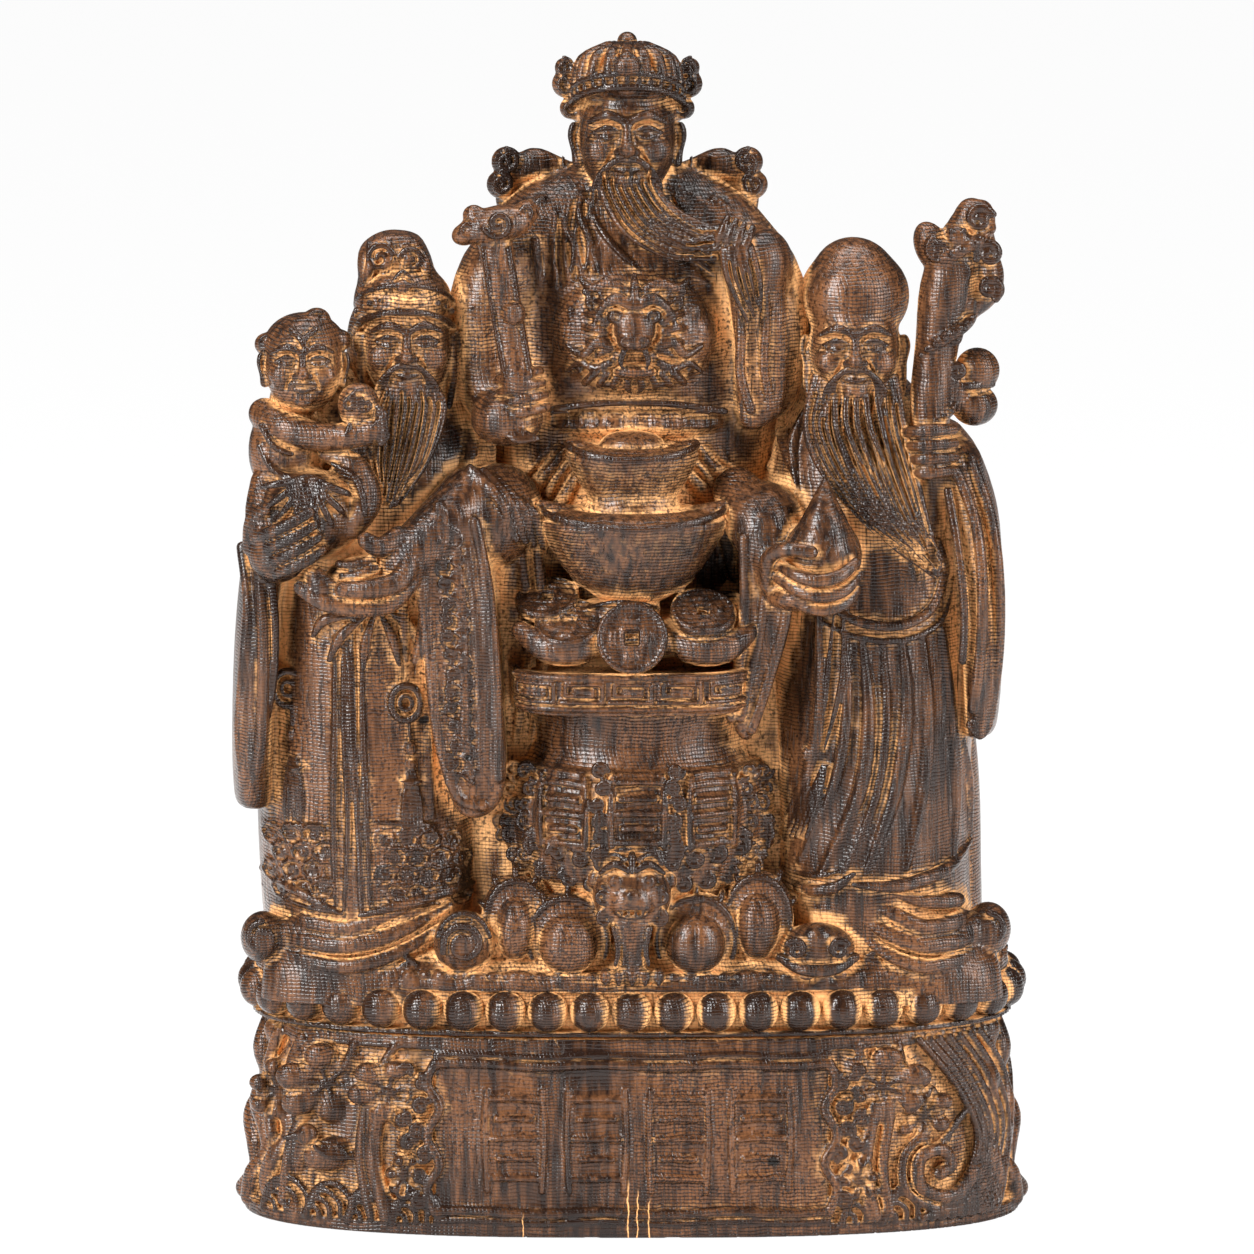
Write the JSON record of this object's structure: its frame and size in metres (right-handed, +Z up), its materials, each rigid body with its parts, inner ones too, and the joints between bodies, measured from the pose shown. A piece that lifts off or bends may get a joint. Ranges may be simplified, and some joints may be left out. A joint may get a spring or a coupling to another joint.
{
  "type": "wooden three star gods figurine",
  "caption": "Carved dark wood group of three robed star gods round a treasure bowl and ingots, on a beaded rim over a separate oval plinth with a framed name panel.",
  "frame": {"origin": "centre of the underside, on the surface that the figurine stands on", "axes": "+Z up, X across the group from the child's side to the staff's side, the gods face -Y"},
  "size_m": [0.1989, 0.0925, 0.2965],
  "materials": {
    "dark_wood": "satin wax over a tan stain in the recesses"
  },
  "bodies": {
    "root": {"lotus_plinth": "dark_wood", "three_gods_carving": "dark_wood"}
  },
  "joints": []
}
